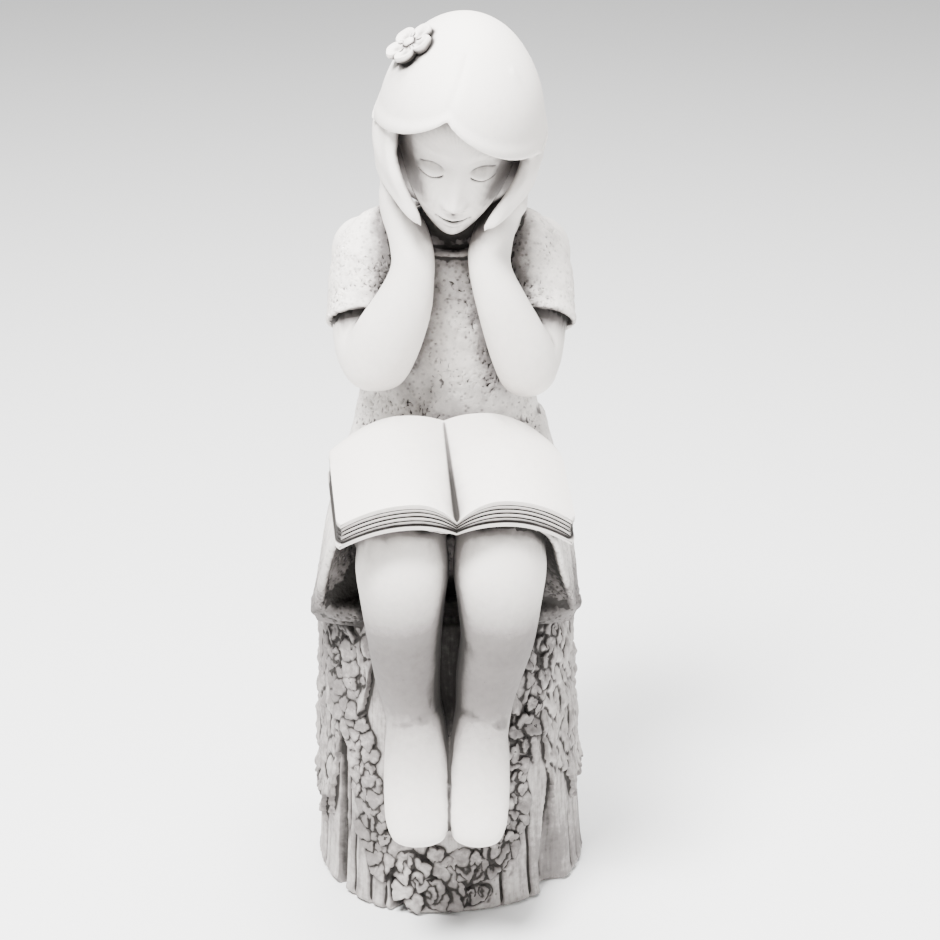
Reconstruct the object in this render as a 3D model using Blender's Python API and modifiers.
# Garden statue: a seated girl with a bob of hair reads a book on a tree stump, cast in one piece.
# Metres, +Z up, the girl faces -Y, the origin is at the middle of the stump's underside.
import math

import bmesh
import bpy
from mathutils import Euler, Matrix, Vector, noise

# The stump
STUMP_HEIGHT = 0.285
STUMP_RADIUS = 0.1190
STUMP_TAPER = 0.009
STUMP_LEAN = -0.006
STUMP_FLARE = 0.004
STUMP_BULGE = 0.009
STUMP_EDGE = 0.005
GROOVE_DEPTH = 0.014
BARK_THICKNESS = 0.0035
BARK_RELIEF = 0.002
LEAF_LENGTH = 0.027
LEAF_RELIEF = 0.005

# The girl: every place and size of her body is drawn for 0.515 m from seat to crown, and follows this
SITTING_HEIGHT = 0.515
CLOTH_WALL = 0.007
SLEEVE_DEPTH = 0.010
HAIR_WALL = 0.009

# The book
BOOK_WIDTH = 0.197
BOOK_LENGTH = 0.116
BOOK_THICKNESS = 0.0262
BOOK_ARCH = 0.0235
GUTTER_NEAR = 0.0214
GUTTER_FAR = 0.007
BOOK_TILT = math.radians(17.8)
BOOK_YAW = math.radians(6)

# The surface of the solid
BODY_VOXEL = 0.003
VOXEL = 0.0025
FACES_WANTED = 9900

SCALE = SITTING_HEIGHT / 0.515
RIGHT_HAND = -1
LEFT_HAND = 1
COLLECTION = "girl_garden_statue"


def at(x, y, z):
    """A place in the girl's pose, drawn from the middle of the stump's top."""
    return Vector((x, y, z)) * SCALE + Vector((0, 0, STUMP_HEIGHT))


# Tools


def clear_scene():
    for obj in list(bpy.data.objects):
        bpy.data.objects.remove(obj, do_unlink=True)


def new_object(name, bm):
    mesh = bpy.data.meshes.new(name)
    bmesh.ops.recalc_face_normals(bm, faces=bm.faces)
    bm.to_mesh(mesh)
    bm.free()
    obj = bpy.data.objects.new(name, mesh)
    bpy.data.collections[COLLECTION].objects.link(obj)
    return obj


def skin(name, rings, closed=True):
    """A tube through rings of points, each with as many points as the next."""
    bm = bmesh.new()
    made = [[bm.verts.new(point) for point in ring] for ring in rings]
    for low, high in zip(made, made[1:]):
        for i in range(len(low)):
            j = (i + 1) % len(low)
            bm.faces.new((low[i], low[j], high[j], high[i]))
    if closed:
        bm.faces.new(reversed(made[0]))
        bm.faces.new(made[-1])
    return new_object(name, bm)


def oval(place, half_width, half_depth, normal=(0, 0, 1), count=20):
    """Points round an ellipse of the body, its width along X as nearly as its normal lets it."""
    half_width *= SCALE
    half_depth *= SCALE
    normal = Vector(normal).normalized()
    side = (Vector((1, 0, 0)) - normal * normal.x).normalized()
    depth = normal.cross(side)
    turns = [2 * math.pi * i / count for i in range(count)]
    return [
        place + side * half_width * math.cos(turn) + depth * half_depth * math.sin(turn)
        for turn in turns
    ]


def limb(name, joints, count=16):
    """A limb through joints (place, half width, half depth), with round ends."""
    places = [joint[0] for joint in joints]
    rings = []
    for i, (place, width, depth) in enumerate(joints):
        along = places[min(i + 1, len(places) - 1)] - places[max(i - 1, 0)]
        beyond = along.normalized() * depth * 0.6 * SCALE
        if i == 0:
            rings.append(oval(place - beyond, width * 0.6, depth * 0.6, along, count))
        rings.append(oval(place, width, depth, along, count))
        if i == len(places) - 1:
            rings.append(oval(place + beyond, width * 0.6, depth * 0.6, along, count))
    obj = skin(name, rings)
    rounded(obj, 2)
    return obj


def rounded(obj, levels):
    modifier = obj.modifiers.new("Round", "SUBSURF")
    modifier.levels = levels
    modifier.render_levels = levels


def ball(name, place, radii, turn=(0, 0, 0), segments=24):
    bm = bmesh.new()
    matrix = Matrix.Translation(place) @ Euler(turn).to_matrix().to_4x4() @ Matrix.Diagonal((*radii, 1))
    bmesh.ops.create_uvsphere(bm, u_segments=segments, v_segments=segments // 2, radius=1, matrix=matrix)
    return new_object(name, bm)


def settle(obj):
    """Replaces an object's mesh by what its modifiers make of it."""
    graph = bpy.context.evaluated_depsgraph_get()
    mesh = bpy.data.meshes.new_from_object(obj.evaluated_get(graph))
    obj.modifiers.clear()
    obj.data = mesh
    return obj


def joined(name, objects):
    """One object that holds the shells of them all."""
    bm = bmesh.new()
    for obj in objects:
        settle(obj)
        obj.data.transform(obj.matrix_world)
        bm.from_mesh(obj.data)
        bpy.data.objects.remove(obj)
    return new_object(name, bm)


def fuse(obj, voxel, smoothing=0):
    """Melts the shells of an object into one surface, as a mould would."""
    remesh = obj.modifiers.new("Fuse", "REMESH")
    remesh.mode = "VOXEL"
    remesh.voxel_size = voxel
    if smoothing:
        smooth = obj.modifiers.new("Smooth", "SMOOTH")
        smooth.factor = 0.5
        smooth.iterations = smoothing
    settle(obj)
    keep_outer_skin(obj)


def keep_outer_skin(obj):
    """Drops the walls of any pocket sealed inside the solid."""
    bm = bmesh.new()
    bm.from_mesh(obj.data)
    left = set(bm.verts)
    shells = []
    while left:
        seed = left.pop()
        shell, edge = {seed}, [seed]
        while edge:
            for link in edge.pop().link_edges:
                for vert in link.verts:
                    if vert in left:
                        left.remove(vert)
                        shell.add(vert)
                        edge.append(vert)
        shells.append(shell)
    largest = max(shells, key=len)
    spare = [vert for shell in shells if shell is not largest for vert in shell]
    bmesh.ops.delete(bm, geom=spare, context="VERTS")
    bm.to_mesh(obj.data)
    bm.free()


def smoothstep(low, high, value):
    share = min(1, max(0, (value - low) / (high - low)))
    return share * share * (3 - 2 * share)


def hill(value, middle, width):
    return math.exp(-(((value - middle) / width) ** 2))


def between(stops, value):
    """Reads a smooth curve through stops, each (value, number, number...)."""
    value = min(max(value, stops[0][0]), stops[-1][0])
    last = len(stops) - 1
    i = max(k for k in range(last) if stops[k][0] <= value)
    before, low, high, after = (stops[min(max(k, 0), last)] for k in (i - 1, i, i + 1, i + 2))
    span = high[0] - low[0]
    share = (value - low[0]) / span
    answer = []
    for a, b, c, d in zip(before[1:], low[1:], high[1:], after[1:]):
        start = (c - a) / (high[0] - before[0]) * span
        end = (d - b) / (after[0] - low[0]) * span
        cubic = (2 * share**3 - 3 * share**2 + 1) * b + (share**3 - 2 * share**2 + share) * start
        answer.append(cubic + (3 * share**2 - 2 * share**3) * c + (share**3 - share**2) * end)
    return answer


# The stump: wood split along its grooves, bark above a ragged edge, ivy round the legs

GROOVES = (  # angle from the front, half width at the foot, top as a share of the height
    (-152, 3.5, 1.5),
    (-112, 3.0, 1.5),
    (-52, 3.5, 0.90),
    (-21, 3.5, 0.32),
    (50, 9.0, 0.40),
    (98, 3.0, 1.5),
    (140, 4.5, 0.7),
    (176, 3.0, 1.5),
)
BARK_EDGES = (  # angle from the front, height of the bark's lower edge as a share of the stump's
    (-180, 0.45),
    (-140, 0.62),
    (-112, 0.30),
    (-85, 0.25),
    (-62, 0.27),
    (-50, 0.58),
    (-38, 0.68),
    (-28, 1.05),
    (24, 1.05),
    (33, 0.64),
    (46, 0.46),
    (60, 0.38),
    (78, 0.32),
    (95, 0.30),
    (130, 0.55),
    (160, 0.35),
    (180, 0.45),
)


def bark_edge(angle):
    for (a, low), (b, high) in zip(BARK_EDGES, BARK_EDGES[1:]):
        if a <= angle <= b:
            return (low + (high - low) * smoothstep(a, b, angle)) * STUMP_HEIGHT
    return BARK_EDGES[-1][1] * STUMP_HEIGHT


def trunk_radius(angle, share):
    """The trunk without its carving, angle in degrees from the front, share of the height."""
    bulge = STUMP_BULGE * hill(angle, -30, 24) * (1 - share) ** 0.7
    return STUMP_RADIUS - STUMP_TAPER * share + STUMP_FLARE * (1 - share) ** 2 + bulge


def stump_radius(turn, height):
    """Distance of the carved surface from the axis, turn in radians from the front."""
    angle = (math.degrees(turn) + 180) % 360 - 180
    share = height / STUMP_HEIGHT
    radius = trunk_radius(angle, share)
    for middle, half, top in GROOVES:
        off = abs((angle - middle + 180) % 360 - 180)
        taper = min(1, 1.4 * max(0, 1 - share / top))
        if off < half * taper:
            radius -= GROOVE_DEPTH * (1 - (off / half / taper) ** 2) * taper**0.5
    grain = Vector((math.sin(turn) * 14, -math.cos(turn) * 14, height * 12))
    ragged = noise.noise(Vector((math.sin(turn) * 9, math.cos(turn) * 9, 3.0))) * 0.035
    over = height - bark_edge(angle) - ragged
    if over > 0:
        relief = noise.noise(Vector((grain.x * 2.2, grain.y * 2.2, height * 26)))
        radius += BARK_THICKNESS * smoothstep(0, 0.004, over) + BARK_RELIEF * relief
    return radius


def make_stump():
    sides, courses = 150, 66
    rings = []
    for course in range(courses + 1):
        height = STUMP_HEIGHT * course / courses
        edge = STUMP_EDGE * (1 - smoothstep(0, STUMP_EDGE, height))
        ring = []
        for side in range(sides):
            turn = 2 * math.pi * side / sides
            radius = stump_radius(turn, height) - edge
            spot = Vector((math.sin(turn) * radius, -math.cos(turn) * radius, height))
            ring.append(spot + Vector((STUMP_LEAN * height / STUMP_HEIGHT, 0, 0)))
        rings.append(ring)
    return skin("stump", rings)


def leaf_outline(turn):
    """Distance of a lobed ivy leaf's edge from its middle, as a share of its half length."""
    return 0.86 + 0.10 * math.cos(3 * turn) + 0.06 * math.cos(5 * turn)


def make_leaf(angle, height, size, lean):
    """A cupped leaf that lies on the stump with its tip down."""
    turn = math.radians(angle)
    out = Vector((math.sin(turn), -math.cos(turn), 0))
    side = Vector((math.cos(turn), math.sin(turn), 0))
    down = Vector((0, 0, -1))
    along = down * math.cos(lean) + side * math.sin(lean)
    across = side * math.cos(lean) - down * math.sin(lean)
    share = height / STUMP_HEIGHT
    middle = out * trunk_radius(angle, share) + Vector((STUMP_LEAN * share, 0, height))
    rings = []
    for reach, lift in ((0.98, -1.6), (1.0, 0.7), (0.88, 1.0), (0.5, 0.8), (0.1, 0.45)):
        ring = []
        for i in range(20):
            around = 2 * math.pi * i / 20
            edge = leaf_outline(around) * reach * size / 2
            spot = middle + along * math.cos(around) * edge + across * math.sin(around) * edge * 0.9
            ring.append(spot + out * LEAF_RELIEF * lift)
        rings.append(ring)
    return skin("leaf", rings)


GARLAND = (  # angle from the front and height along the ivy, as shares of the stump's height
    (-58, 0.96),
    (-50, 0.80),
    (-44, 0.62),
    (-37, 0.44),
    (-32, 0.28),
    (-24, 0.16),
    (-10, 0.09),
    (5, 0.08),
    (18, 0.14),
    (27, 0.28),
    (31, 0.44),
    (36, 0.60),
    (42, 0.78),
    (50, 0.95),
)


def make_ivy():
    leaves = []
    steps = 2
    for index, (low, high) in enumerate(zip(GARLAND, GARLAND[1:])):
        for step in range(steps * 2):
            share = step / steps / 2
            number = index * steps * 2 + step
            wander = noise.noise(Vector((number * 0.73, 1.7, 0.4)))
            aside = 6.5 if step % 2 else -6.5
            angle = low[0] + (high[0] - low[0]) * share + 6 * wander
            height = (low[1] + (high[1] - low[1]) * share) * STUMP_HEIGHT
            if abs(angle) > 25:
                angle += aside
            else:
                height += aside * 0.0017
            height += 0.012 * noise.noise(Vector((0.3, number * 0.91, 2.2)))
            size = LEAF_LENGTH * (0.85 + 0.35 * noise.noise(Vector((number * 1.31, 5.0, 1.0))))
            height = max(size * 0.55, min(height, STUMP_HEIGHT - size * 0.4))
            lean = 1.1 * noise.noise(Vector((2.0, number * 1.17, 4.0)))
            leaves.append(make_leaf(angle, height, size, lean))
    return leaves


# The girl


def make_torso():
    return limb(
        "torso",
        [
            (at(0, 0.030, -0.015), 0.100, 0.080),
            (at(0, 0.020, 0.040), 0.096, 0.082),
            (at(0, 0.014, 0.090), 0.092, 0.078),
            (at(-0.003, 0.006, 0.140), 0.084, 0.066),
            (at(-0.002, 0.002, 0.190), 0.075, 0.056),
            (at(0, 0.000, 0.240), 0.076, 0.052),
            (at(0, 0.002, 0.280), 0.078, 0.048),
            (at(0, 0.004, 0.308), 0.072, 0.043),
            (at(0, 0.006, 0.328), 0.046, 0.036),
            (at(0, 0.006, 0.336), 0.026, 0.026),
        ],
        24,
    )


SKIRT_LEFTWARD = 0.0055
SKIRT_HEM = (  # turn from the front in degrees, then the place of the hem on that side
    (0, 0.000, -0.180, 0.114),
    (22, 0.050, -0.180, 0.122),
    (42, 0.090, -0.166, 0.104),
    (60, 0.105, -0.132, 0.052),
    (76, 0.1135, -0.100, 0.010),
    (90, 0.1165, -0.078, -0.008),
    (112, 0.118, -0.010, -0.013),
    (138, 0.097, 0.078, -0.013),
    (160, 0.049, 0.114, -0.014),
    (180, 0.000, 0.123, -0.014),
)
LAP_INNER = 0.066
LAP = (  # height, the skirt's edge across and ahead, depth of the hollow at the right and the left leg
    (-0.018, 0.1140, -0.076, -0.014, -0.010),
    (0.004, 0.1140, -0.092, -0.004, -0.004),
    (0.020, 0.1120, -0.108, 0.028, 0.010),
    (0.052, 0.1040, -0.132, 0.056, 0.028),
    (0.092, 0.0920, -0.156, 0.064, 0.040),
)


def skirt_point(turn, share):
    """The cloth over hips and thighs: share 0 is the waist and 1 the hem, turn 0 the front."""
    x, y, z = between(SKIRT_HEM, abs(turn))
    across, ahead = math.sin(math.radians(turn)), math.cos(math.radians(turn))
    waist = Vector((0.083 * across, 0.008 - 0.066 * ahead, 0.152))
    hem = Vector((math.copysign(x, turn) - SKIRT_LEFTWARD, y, z))
    front, back = max(0, ahead), max(0, -ahead)
    out = Vector((across * (1 - front), -ahead * (1 - front), 0.6 * front))
    bulge = math.sin(math.pi * min(1, share * 1.05)) * (0.003 + 0.014 * back + 0.010 * front)
    fold = 0.0025 * math.sin(math.radians(turn) * 11) * share * share * (1 - front)
    return waist.lerp(hem, share) + out * (bulge + fold)


def make_skirt():
    courses, sides = 16, 72
    rings = [
        [at(*skirt_point(360 * side / sides - 180, course / courses)) for side in range(sides)]
        for course in range(courses + 1)
    ]
    obj = skin("skirt", rings, closed=False)
    wall = obj.modifiers.new("Wall", "SOLIDIFY")
    wall.thickness = CLOTH_WALL
    wall.offset = -1
    return obj


def make_hem_roll(side):
    """The hem where it lies on the stump beside a leg."""
    return limb(
        "hem_roll",
        [
            (at(side * 0.110 - 0.004, -0.072, 0.001), 0.010, 0.010),
            (at(side * 0.095 - 0.004, -0.089, 0.001), 0.010, 0.010),
            (at(side * 0.076 - 0.004, -0.095, 0.001), 0.009, 0.010),
        ],
        10,
    )


LAP_DEPTH = 0.050


def make_lap(side):
    """The hollow inner side of the skirt, from its front edge to the leg."""
    courses, steps = 16, 10
    rings = []
    for course in range(courses + 1):
        z = LAP[0][0] + (LAP[-1][0] - LAP[0][0]) * course / courses
        edge_x, edge_y, right, left = between(LAP, z)
        depth = right if side == RIGHT_HAND else left
        front, back = [], []
        for i in range(steps + 1):
            x = LAP_INNER + (edge_x - LAP_INNER) * i / steps
            y = edge_y + depth * math.sin((1 - i / steps) * math.pi / 2) ** 0.9
            front.append(at(side * x - SKIRT_LEFTWARD, y, z))
            back.append(at(side * x - SKIRT_LEFTWARD, y + LAP_DEPTH, z))
        rings.append(front + back[::-1])
    return skin("lap", rings)


def make_leg(side):
    """Thigh, knee, shin and foot: side -1 is her right leg, on the left in a front view."""
    lean = -0.001 if side < 0 else -0.004
    thigh = limb(
        "thigh",
        [
            (at(side * 0.050, 0.030, 0.060), 0.052, 0.052),
            (at(side * 0.048, -0.060, 0.080), 0.046, 0.046),
            (at(side * 0.042, -0.125, 0.088), 0.040, 0.038),
            (at(side * 0.041, -0.150, 0.084), 0.036, 0.034),
        ],
    )
    shin = limb(
        "shin",
        [
            (at(side * 0.041, -0.150, 0.092), 0.038, 0.033),
            (at(side * 0.041, -0.151, 0.068), 0.0400, 0.038),
            (at(side * 0.041, -0.147, 0.038), 0.0365, 0.036),
            (at(side * 0.040, -0.138, 0.000), 0.0325, 0.033),
            (at(side * 0.037 + lean, -0.129, -0.040), 0.0290, 0.030),
            (at(side * 0.033 + lean, -0.126, -0.070), 0.0255, 0.027),
            (at(side * 0.031 + lean, -0.130, -0.096), 0.0235, 0.021),
        ],
    )
    wide = 0.0295 if side < 0 else 0.0270
    foot = limb(
        "foot",
        [
            (at(side * 0.0315 + lean, -0.117, -0.060), wide * 0.72, 0.018),
            (at(side * 0.0300 + lean, -0.124, -0.078), wide * 0.90, 0.023),
            (at(side * 0.0290 + lean, -0.136, -0.094), wide * 0.98, 0.023),
            (at(side * 0.0280 + lean, -0.162, -0.122), wide * 1.02, 0.018),
            (at(side * 0.0270 + lean, -0.186, -0.152), wide, 0.014),
            (at(side * 0.0264 + lean, -0.196, -0.164), wide * 0.86, 0.011),
            (at(side * 0.0262 + lean, -0.203, -0.171), wide * 0.50, 0.007),
        ],
    )
    return [thigh, shin, foot]


def make_arm(side):
    """Upper arm and bare forearm; her right arm is a little fuller."""
    if side == RIGHT_HAND:
        elbow_high, full = 0.005, 0.003
    else:
        elbow_high, full = 0.0, -0.001
    upper = limb(
        "upper_arm",
        [
            (at(side * 0.074, 0.004, 0.300), 0.030, 0.032),
            (at(side * 0.0748, -0.022, 0.262), 0.0275, 0.029),
            (at(side * (0.0710 + full / 2), -0.051, 0.229 + elbow_high), 0.0265 + full / 2, 0.028),
            (at(side * 0.0657, -0.071, 0.218 + elbow_high), 0.0255 + full / 2, 0.026),
        ],
    )
    fore = limb(
        "forearm",
        [
            (at(side * (0.0645 - full / 2), -0.074, 0.218 + elbow_high), 0.0270 + full, 0.025),
            (at(side * (0.0555 - full), -0.079, 0.243 + elbow_high), 0.0268 + full, 0.025),
            (at(side * (0.0430 - full), -0.082, 0.275), 0.0225 + full, 0.022),
            (at(side * 0.0332, -0.078, 0.303), 0.0188, 0.018),
            (at(side * 0.0315, -0.070, 0.322), 0.0180, 0.0165),
        ],
    )
    return [upper, fore]


SLEEVE_HANG = Vector((-0.05, -0.60, -0.80))


def sleeve_rings(side, joints):
    hang = Vector((SLEEVE_HANG.x * side, SLEEVE_HANG.y, SLEEVE_HANG.z)).normalized()
    return [oval(place, width, depth, hang) for place, width, depth in joints], hang


def make_sleeve(side):
    """The short sleeve from the shoulder to just above its end."""
    joints = [
        (at(side * 0.050, 0.014, 0.335), 0.011, 0.014),
        (at(side * 0.058, 0.009, 0.327), 0.022, 0.026),
        (at(side * 0.068, 0.002, 0.310), 0.0300, 0.033),
        (at(side * 0.0735, -0.012, 0.285), 0.0320, 0.035),
        (at(side * 0.0750, -0.026, 0.266), 0.0315, 0.035),
        (at(side * 0.0742, -0.032, 0.258), 0.0300, 0.033),
    ]
    return skin("sleeve", sleeve_rings(side, joints)[0])


def make_cuff(side):
    """The sleeve's flared end, hollow round the arm."""
    mouth = at(side * 0.0735, -0.040, 0.250)
    joints = [
        (at(side * 0.0750, -0.026, 0.266), 0.0305, 0.034),
        (at(side * 0.0745, -0.034, 0.258), 0.0325, 0.0355),
        (mouth, 0.0335, 0.0365),
        (mouth, 0.0285, 0.0310),
    ]
    rings, hang = sleeve_rings(side, joints)
    rings.append(oval(mouth - hang * SLEEVE_DEPTH, 0.0275, 0.0300, hang))
    return skin("cuff", rings)


# The head leans over the book. Its own axes start between the ears

HEAD_MIDDLE = (0.008, -0.050, 0.4292)
HEAD_NOD = math.radians(26)
HEAD_TILT = math.radians(5)


def on_head(x, y, z):
    turn = Euler((HEAD_NOD, HEAD_TILT, 0), "XYZ").to_matrix()
    return at(*(Vector(HEAD_MIDDLE) + turn @ Vector((x, y, z))))


def face_point(x, y, z):
    """Moves a point of the plain egg of the head to a calm child's face."""
    front = smoothstep(0.0, -0.6, y)
    low = smoothstep(0.1, -1.0, z)
    px, py, pz = x * 0.0535 * (1 - 0.24 * low), y * 0.0605 - 0.028 * low, z * (0.078 if z > 0 else 0.086)
    cheek = 0.0045 * (hill(px, 0.026, 0.016) + hill(px, -0.026, 0.016)) * hill(pz, -0.032, 0.018)
    socket = -0.0055 * (hill(px, 0.021, 0.012) + hill(px, -0.021, 0.012)) * hill(pz, -0.008, 0.009)
    lid = 0.0040 * (hill(px, 0.021, 0.009) + hill(px, -0.021, 0.009)) * hill(pz, -0.010, 0.0055)
    bridge = smoothstep(0.004, -0.036, pz) * smoothstep(-0.048, -0.038, pz)
    nose = 0.0120 * hill(px, 0, 0.0085) * bridge
    mouth = 0.0040 * hill(px, 0, 0.013) * hill(pz, -0.056, 0.006)
    chin = 0.0045 * hill(px, 0, 0.014) * hill(pz, -0.075, 0.010)
    return px, py - front * (cheek + socket + lid + nose + mouth + chin), pz


def make_head():
    bm = bmesh.new()
    bmesh.ops.create_uvsphere(bm, u_segments=48, v_segments=40, radius=1)
    for vert in bm.verts:
        vert.co = on_head(*face_point(*vert.co))
    head = new_object("head", bm)
    neck = limb(
        "neck",
        [
            (at(0, 0.006, 0.290), 0.034, 0.032),
            (at(0.002, -0.016, 0.350), 0.026, 0.027),
            (at(0.003, -0.034, 0.400), 0.030, 0.030),
        ],
    )
    return [head, neck]


HAIR_HALF_WIDTH = 0.0660
HAIR_HALF_DEPTH = 0.0880
HAIR_TOP = 0.0850
CROWN = HAIR_TOP * 0.99999  # just under the top, where the rings of the top hair close
HAIR_SWELL = (  # height over the middle of the head, how far the bob swells past the top hair
    (-0.080, -0.090),
    (-0.062, -0.050),
    (-0.040, 0.036),
    (-0.016, 0.100),
    (-0.002, 0.040),
    (0.008, 0.000),
)
CURTAIN_EDGE = (  # height, turn of the hair's front edge from the face in degrees
    (-0.058, 17),
    (-0.050, 20),
    (-0.036, 25),
    (-0.024, 34),
    (-0.012, 43),
    (0.000, 54),
    (0.020, 60),
    (0.090, 60),
)
BOB_RIM = (  # turn from the front in degrees, height of the lower edge
    (0, -0.050),
    (20, -0.050),
    (30, -0.046),
    (40, -0.041),
    (50, -0.038),
    (66, -0.041),
    (90, -0.052),
    (180, -0.062),
)
PARTING = -13  # turn at which the two lobes of the fringe meet
FRINGE_NOTCH = 0.0545
FRINGE_FALL = {RIGHT_HAND: 0.00075, LEFT_HAND: 0.00066}  # how much lower for each degree from the parting


def hair_point(turn, z, lift=0.0, bob=False):
    """A point of the hair's outer surface, turn in degrees from the face."""
    girth = max(0, 1 - (max(z, 0) / (HAIR_TOP + lift)) ** 2.2) ** 0.51
    if bob or z < 0:
        swell = between(HAIR_SWELL, z)[0]
        if z < 0:
            swell += (HAIR_SWELL[3][1] - swell) * smoothstep(70, 25, abs(turn))
        girth *= 1 + swell
    across, ahead = math.sin(math.radians(turn)), math.cos(math.radians(turn))
    return (HAIR_HALF_WIDTH + lift) * girth * across, 0.002 - (HAIR_HALF_DEPTH + lift) * girth * ahead, z


def fringe_rim(turn):
    """Height of the top hair's lower edge."""
    side = RIGHT_HAND if turn < PARTING else LEFT_HAND
    return max(0, FRINGE_NOTCH - FRINGE_FALL[side] * abs(turn - PARTING))


def make_bob():
    """The curtain of hair at the sides and the back, open at the face."""
    courses, sides = 30, 60
    grid = []
    bm = bmesh.new()
    for side in range(sides + 1):
        k = 2 * side / sides - 1
        column = []
        for course in range(courses + 1):
            share = course / courses
            low = between(BOB_RIM, 180 - abs(k) * 150)[0]
            z = 0.070 + (low - 0.070) * share
            edge = between(CURTAIN_EDGE, z)[0]
            turn = math.copysign(180 - (180 - edge) * abs(k), k)
            column.append(bm.verts.new(on_head(*hair_point(turn, z, bob=True))))
        grid.append(column)
    for a, b in zip(grid, grid[1:]):
        for i in range(courses):
            bm.faces.new((a[i], a[i + 1], b[i + 1], b[i]))
    obj = new_object("bob", bm)
    wall = obj.modifiers.new("Wall", "SOLIDIFY")
    wall.thickness = HAIR_WALL
    wall.offset = -1
    return obj


def make_cap():
    """The top hair, a dome in two lobes that meet at the parting, standing off the bob."""
    courses, sides = 24, 96
    rings = []
    for course in range(courses + 1):
        share = course / courses
        ring = []
        for side in range(sides):
            turn = 360 * side / sides - 180
            rim = fringe_rim(turn)
            z = rim + (CROWN - rim) * math.cos(share * math.pi / 2) ** 0.9
            front = smoothstep(125, 80, abs(turn))
            lift = 0.0035 * front * smoothstep(0.3, 0.95, share)
            ring.append(on_head(*hair_point(turn, z, lift)))
        rings.append(ring)
    obj = skin("cap", rings, closed=False)
    wall = obj.modifiers.new("Wall", "SOLIDIFY")
    wall.thickness = HAIR_WALL
    wall.offset = -1
    return obj


def make_skull():
    """Fills the hair down to the nape, and leaves a gap beside the face."""
    parts = []
    for y, z, wide, deep, high in ((0.016, 0.006, 0.062, 0.066, 0.074), (0.020, -0.040, 0.060, 0.050, 0.040)):
        radii = (wide * SCALE, deep * SCALE, high * SCALE)
        parts.append(ball("skull", on_head(0, y, z), radii, (HEAD_NOD, HEAD_TILT, 0), 32))
    return parts


FINGER_JOINTS = (  # turn from the face in degrees, radius
    (62, 0.0074),
    (82, 0.0069),
    (100, 0.0066),
)
FINGER_TIP = 0.0056
FINGER_DEPTH = 0.0055  # of its middle line under the hair's outer surface
FINGER_DROOP = 0.003  # from joint to joint
FINGERS = (  # height beside the ears, turn of the finger's tip from the face in degrees
    (-0.055, 108),
    (-0.067, 118),
    (-0.079, 118),
    (-0.090, 108),
)


def make_hand(side):
    """A palm beside the chin, and four fingers that lie back along the jaw under the hair."""
    palm = limb(
        "palm",
        [
            (at(side * 0.0315, -0.070, 0.314), 0.0185, 0.0165),
            (at(side * 0.0365, -0.058, 0.334), 0.0175, 0.0180),
            (at(side * 0.0470, -0.044, 0.350), 0.0135, 0.0215),
            (on_head(*hair_point(side * 70, -0.066, -0.004)), 0.0090, 0.0200),
        ],
    )
    fingers = []
    for height, tip in FINGERS:
        joints = []
        for i, (turn, radius) in enumerate(FINGER_JOINTS + ((tip, FINGER_TIP),)):
            spot = on_head(*hair_point(side * turn, height - FINGER_DROOP * i, -FINGER_DEPTH))
            joints.append((spot, radius, radius))
        fingers.append(limb("finger", joints, 10))
    return [palm] + fingers


FLOWER_TURN = -93
FLOWER_HEIGHT = 0.067
PETALS = 5


def make_flower():
    """Five round petals about a button, on the side of the hair."""
    middle = on_head(*hair_point(FLOWER_TURN, FLOWER_HEIGHT, 0.004))
    out = (middle - on_head(0, 0, 0)).normalized()
    side = out.cross(Vector((0, 0, 1))).normalized()
    up = side.cross(out)
    facing = out.to_track_quat("Z", "Y").to_euler()
    parts = [ball("button", middle + out * 0.003 * SCALE, [0.0058 * SCALE] * 3, segments=12)]
    radii = (0.0102 * SCALE, 0.0102 * SCALE, 0.0048 * SCALE)
    for petal in range(PETALS):
        around = 2 * math.pi * petal / PETALS
        spot = middle + (side * math.cos(around) + up * math.sin(around)) * 0.0125 * SCALE
        parts.append(ball("petal", spot, radii, facing, 16))
    return parts


# The open book, bent over the knees

BOOK_MIDDLE = (-0.001, -0.140, 0.1403)
BOOK_CREST = 0.39  # where the pages stand highest, as a share of half the width
BOOK_DROP = {RIGHT_HAND: (1.2, 0.77), LEFT_HAND: (1.0, 1.0)}  # of the outer edge, at the far and the near end
BOOK_CUT = {RIGHT_HAND: (0.0090, 0.0144), LEFT_HAND: (0.0160, 0.0416)}  # of the far corner, across and ahead


def book_profile(across, ahead):
    """Heights of the cover's underside and the top page, across -1 to 1, ahead 0 far to 1 near."""
    off = abs(across)
    far, near = BOOK_DROP[RIGHT_HAND if across < 0 else LEFT_HAND]
    outer = (far + (near - far) * ahead) * max(0, (off - BOOK_CREST) / (1 - BOOK_CREST)) ** 2
    inner = max(0, (BOOK_CREST - off) / BOOK_CREST) ** 2.2
    gutter = GUTTER_FAR + (GUTTER_NEAR - GUTTER_FAR) * ahead
    under = -BOOK_ARCH * outer - 0.35 * gutter * inner
    over = BOOK_THICKNESS - BOOK_ARCH * outer - gutter * inner
    return under, over


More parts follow.
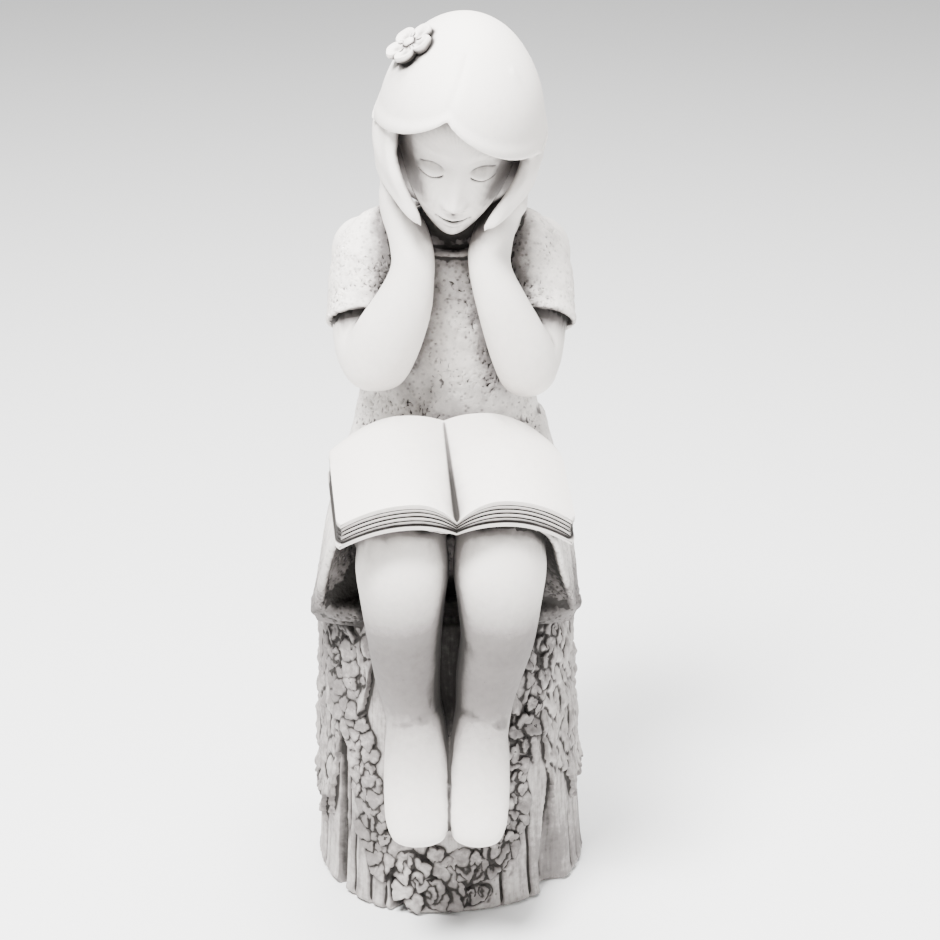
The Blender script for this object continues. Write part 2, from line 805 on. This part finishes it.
def book_side(across, ahead):
    """Half the book's width: its far corners are cut round, the one on her left more than the other."""
    cut, length = BOOK_CUT[RIGHT_HAND if across < 0 else LEFT_HAND]
    return BOOK_WIDTH / 2 - cut * max(0, 1 - ahead * BOOK_LENGTH / length) ** 2


def make_book():
    columns, courses = 48, 12
    turn = Matrix.Rotation(BOOK_YAW, 4, "Z") @ Matrix.Rotation(BOOK_TILT, 4, "X")
    rings = []
    for course in range(courses + 1):
        ahead = course / courses
        y = BOOK_LENGTH * (0.5 - ahead)
        under, over = [], []
        for column in range(columns + 1):
            across = 2 * column / columns - 1
            low, high = book_profile(across, ahead)
            x = across * book_side(across, ahead)
            under.append(Vector((x, y, low)))
            over.append(Vector((x, y, high)))
        rings.append([at(*BOOK_MIDDLE) + turn @ spot for spot in under + over[::-1]])
    return skin("book", rings)


def make_statue():
    body = [make_torso(), make_skirt()]
    for side in (RIGHT_HAND, LEFT_HAND):
        body += make_leg(side) + make_arm(side) + [make_sleeve(side), make_hem_roll(side), make_lap(side)]
    figure = joined("figure", body)
    fuse(figure, BODY_VOXEL, 4)
    details = [figure, make_stump(), make_book(), make_bob(), make_cap()]
    details += make_skull() + make_head() + make_flower() + make_ivy()
    for side in (RIGHT_HAND, LEFT_HAND):
        details += [make_cuff(side)] + make_hand(side)
    statue = joined("girl_on_stump", details)
    fuse(statue, VOXEL)
    thin = statue.modifiers.new("Facets", "DECIMATE")
    thin.ratio = min(1, FACES_WANTED / (2 * len(statue.data.polygons)))
    settle(statue)
    keep_outer_skin(statue)
    return statue


def stone():
    material = bpy.data.materials.new("cast_stone")
    material.use_nodes = True
    shader = material.node_tree.nodes["Principled BSDF"]
    shader.inputs["Base Color"].default_value = (0.72, 0.69, 0.66, 1)
    shader.inputs["Roughness"].default_value = 0.75
    return material


def main():
    clear_scene()
    collection = bpy.data.collections.new(COLLECTION)
    bpy.context.scene.collection.children.link(collection)
    statue = make_statue()
    statue.data.materials.clear()
    statue.data.materials.append(stone())


main()
